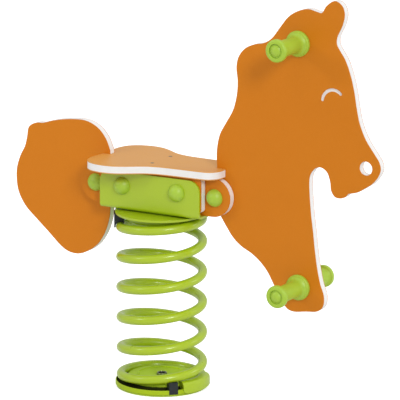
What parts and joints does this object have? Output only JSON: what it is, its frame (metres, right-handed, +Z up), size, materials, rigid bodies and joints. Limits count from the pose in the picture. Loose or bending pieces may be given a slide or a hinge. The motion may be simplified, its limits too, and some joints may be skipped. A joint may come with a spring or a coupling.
{
  "type": "spring rider",
  "caption": "Horse-shaped playground spring rider: sandwich-board head, tail and seat in a steel saddle on a coil spring, with hand grips and footrests.",
  "frame": {"origin": "centre of the underside of the ground plate, on the spring axis", "axes": "+X the way the horse faces, +Y the horse's left side, +Z up"},
  "size_m": [0.9152, 0.226, 0.9],
  "materials": {
    "sandwich_board": "fine-textured polyethylene sandwich board, orange skins over a white core",
    "green_steel": "glossy green powder coat on steel",
    "spring_steel": "glossy green powder coat on spring wire",
    "green_plastic": "moulded green plastic, half gloss",
    "spacer_rubber": "black rubber",
    "zinc_steel": "zinc-plated fasteners"
  },
  "bodies": {
    "base": {"ground_plate": "green_steel", "lower_spring_seat": "green_steel", "lower_spring_hub": "green_steel", "lower_hub_screws": "zinc_steel", "lower_end_clamp": "green_steel", "lower_spacer_block": "spacer_rubber"},
    "spring_lower": {"coil_spring_lower": "spring_steel"},
    "spring_middle": {"coil_spring_middle": "spring_steel"},
    "spring_upper": {"coil_spring_upper": "spring_steel"},
    "rider": {"upper_spring_seat": "green_steel", "upper_spring_hub": "green_steel", "upper_hub_screws": "zinc_steel", "upper_end_clamp": "green_steel", "upper_spacer_block": "spacer_rubber", "upper_packing_plate": "green_steel", "saddle_bracket": "green_steel", "centre_rail": "sandwich_board", "right_long_rail": "sandwich_board", "left_long_rail": "sandwich_board", "right_short_rail": "sandwich_board", "left_short_rail": "sandwich_board", "seat_board": "sandwich_board", "seat_screws": "zinc_steel", "head_panel": "sandwich_board", "tail_panel": "sandwich_board", "bracket_bolts": "zinc_steel", "bracket_bolt_nuts": "zinc_steel", "bracket_bolt_washers": "zinc_steel", "bracket_bolt_caps": "green_plastic", "rail_bolts": "zinc_steel", "rail_bolt_nuts": "zinc_steel", "rail_bolt_washers": "zinc_steel", "rail_bolt_caps": "green_plastic", "right_hand_grip": "green_plastic", "left_hand_grip": "green_plastic", "right_footrest": "green_plastic", "left_footrest": "green_plastic", "hand_grip_rod": "zinc_steel", "footrest_rod": "zinc_steel", "rod_nuts": "zinc_steel", "grip_end_plugs": "green_plastic"}
  },
  "joints": [
    {"name": "bounce", "type": "slide", "parent": "base", "child": "spring_lower", "axis": [0, 0, 1], "range_m": [-0.03, 0.01], "stiffness_N_per_m": 50000, "springref_m": 0.00468, "deforming": ["coil_spring_lower"]},
    {"name": "rock_fore_aft", "type": "hinge", "parent": "spring_lower", "child": "spring_middle", "pos_m": [0, 0, 0.2], "axis": [0, 1, 0], "range_deg": [-15, 15], "stiffness_Nm_per_rad": 500, "springref_deg": -1.07, "deforming": ["coil_spring_middle"]},
    {"name": "twist", "type": "hinge", "parent": "spring_middle", "child": "spring_upper", "pos_m": [0, 0, 0.28], "axis": [0, 0, 1], "range_deg": [-8, 8], "stiffness_Nm_per_rad": 570, "deforming": ["coil_spring_upper"]},
    {"name": "rock_sideways", "type": "hinge", "parent": "spring_upper", "child": "rider", "pos_m": [0, 0, 0.34], "axis": [1, 0, 0], "range_deg": [-10, 10], "stiffness_Nm_per_rad": 500, "deforming": ["coil_spring_upper"]}
  ]
}
